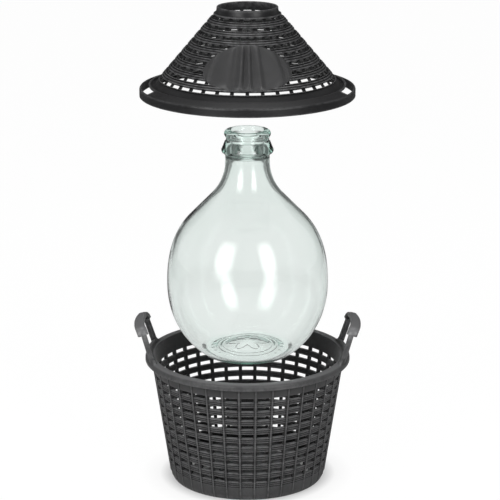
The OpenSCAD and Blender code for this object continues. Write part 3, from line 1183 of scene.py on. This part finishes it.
FLOOR_HALF_W = 6.0
FLOOR_FRONT_Y = -5.0
BEND_Y = 4.0
BEND_R = 1.5
BEND_STEPS = 9
BACKDROP_H = 6.0

LAMP_AIM = (0, 0, 0.32)
# Name, place, width and height, power
LAMPS = (
    ("left_light", (-1.05, -1.45, 1.12), (1.1, 2.1), 44),
    ("right_light", (0.95, -1.5, 1.12), (0.9, 2.1), 36),
    ("top_light", (0, 0.3, 2.6), (2.2, 2.2), 31),
)
# Brightness across a lamp, from one edge to the other
LAMP_FADE = ((0.0, 0.0), (0.35, 1.0), (0.65, 1.0), (1.0, 0.0))

# Brightness of the surroundings, from in front of the object to well behind it
PLAIN_WORLD = ((0.0, 0.12), (0.55, 0.50))
WORLD_THROUGH_GLASS = ((0.0, 0.34), (0.55, 0.52))
WORLD_STRENGTH = 0.9

VIEW_ELEVATION = 16
VIEW_DISTANCE = 2.7456
VIEW_TARGET = Vector((0.00325, 0, 0.3086))
VIEW_LENS = 152.06
SENSOR_W = 36


def build_floor():
    """A pale floor that curves up into a backdrop well behind the object."""
    outline = [(FLOOR_FRONT_Y, 0.0), (0.0, 0.0), (BEND_Y, 0.0)]
    for i in range(1, BEND_STEPS + 1):
        turn = math.radians(90 * i / BEND_STEPS)
        outline.append((BEND_Y + BEND_R * math.sin(turn), BEND_R * (1 - math.cos(turn))))
    outline.append((BEND_Y + BEND_R, BACKDROP_H))
    bm = bmesh.new()
    left, right = [[bm.verts.new((x, y, z)) for y, z in outline] for x in (-FLOOR_HALF_W, FLOOR_HALF_W)]
    for a in range(len(outline) - 1):
        quad(bm, left[a], right[a], right[a + 1], left[a + 1])
    floor = finished_object("studio_floor", bm)
    floor.data.materials.append(floor_finish())


def soften_edges(lamp):
    """Makes a lamp fade towards its edges, so that its reflections have no hard outline."""
    lamp.use_nodes = True
    nodes = Nodes(lamp.node_tree)
    place = nodes.add("NewGeometry").outputs["Parametric"]
    across = nodes.ramp(nodes.axis(place, "X"), *LAMP_FADE)
    along = nodes.ramp(nodes.axis(place, "Y"), *LAMP_FADE)
    emission = nodes.add("Emission")
    nodes.join(nodes.times(across, along), emission.inputs["Color"])
    nodes.finish(emission.outputs["Emission"], "OutputLight")


def soft_light(name, place, size, power):
    lamp = bpy.data.lights.new(name, "AREA")
    lamp.shape = "RECTANGLE"
    lamp.size, lamp.size_y = size
    lamp.energy = power
    soften_edges(lamp)
    light = bpy.data.objects.new(name, lamp)
    light.location = place
    light.rotation_euler = (Vector(LAMP_AIM) - Vector(place)).to_track_quat("-Z", "Y").to_euler()
    bpy.context.scene.collection.objects.link(light)


def build_world():
    """Soft surroundings: bright behind the object and dimmer in front, but less so through the glass."""
    world = bpy.data.worlds.new("studio")
    world.use_nodes = True
    nodes = Nodes(world.node_tree)
    backward = nodes.axis(nodes.add("TexCoord").outputs["Generated"], "Y")
    is_through = nodes.add("LightPath").outputs["Is Transmission Ray"]
    plain = nodes.ramp(backward, *PLAIN_WORLD)
    through_glass = nodes.ramp(backward, *WORLD_THROUGH_GLASS)
    background = nodes.add("Background")
    nodes.join(nodes.blend(is_through, plain, through_glass), background.inputs["Color"])
    background.inputs["Strength"].default_value = WORLD_STRENGTH
    nodes.finish(background.outputs["Background"], "OutputWorld")
    bpy.context.scene.world = world


def build_camera():
    data = bpy.data.cameras.new("camera")
    data.lens = VIEW_LENS
    data.sensor_width = SENSOR_W
    camera = bpy.data.objects.new("camera", data)
    lift = math.radians(VIEW_ELEVATION)
    back = Vector((0, -math.cos(lift), math.sin(lift)))
    camera.location = VIEW_TARGET + back * VIEW_DISTANCE
    camera.rotation_euler = (-back).to_track_quat("-Z", "Y").to_euler()
    bpy.context.scene.collection.objects.link(camera)
    bpy.context.scene.camera = camera


def build_studio():
    build_floor()
    build_world()
    build_camera()
    for lamp in LAMPS:
        soft_light(*lamp)
    bpy.context.scene.view_settings.view_transform = "Standard"


# ---------------------------------------------------------------- the object


def dress(obj, material, node, body):
    """Gives a piece its material and its place in the motion, and hides the CAD node that it stands for,
    if any.
    """
    obj.data.materials.append(material)
    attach(obj, body)
    if node:
        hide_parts(node)


# The basket's grips and upward faces are painted paler as highlights
basket_plastic = moulded_plastic("basket_plastic", BASKET_TONE, GRIP_LOW_Z, upward_highlight=0.8)
cover_plastic = moulded_plastic("cover_plastic", COVER_TONE)
plate_plastic = moulded_plastic("plate_plastic", PLATE_LIT_TONE, painted_relief=0.3)
basket = build_basket()
# Nothing of the basket is seen through the glass or mirrored in it, as in the photo.
basket.visible_transmission = False
basket.visible_glossy = False
dress(basket, basket_plastic, "basket", "basket")
dress(build_glass(), bottle_glass(), "carboy", "carboy")
dress(build_cover(), cover_plastic, "cover", "cover")
dress(build_plate(), plate_plastic, None, "cover")
build_studio()
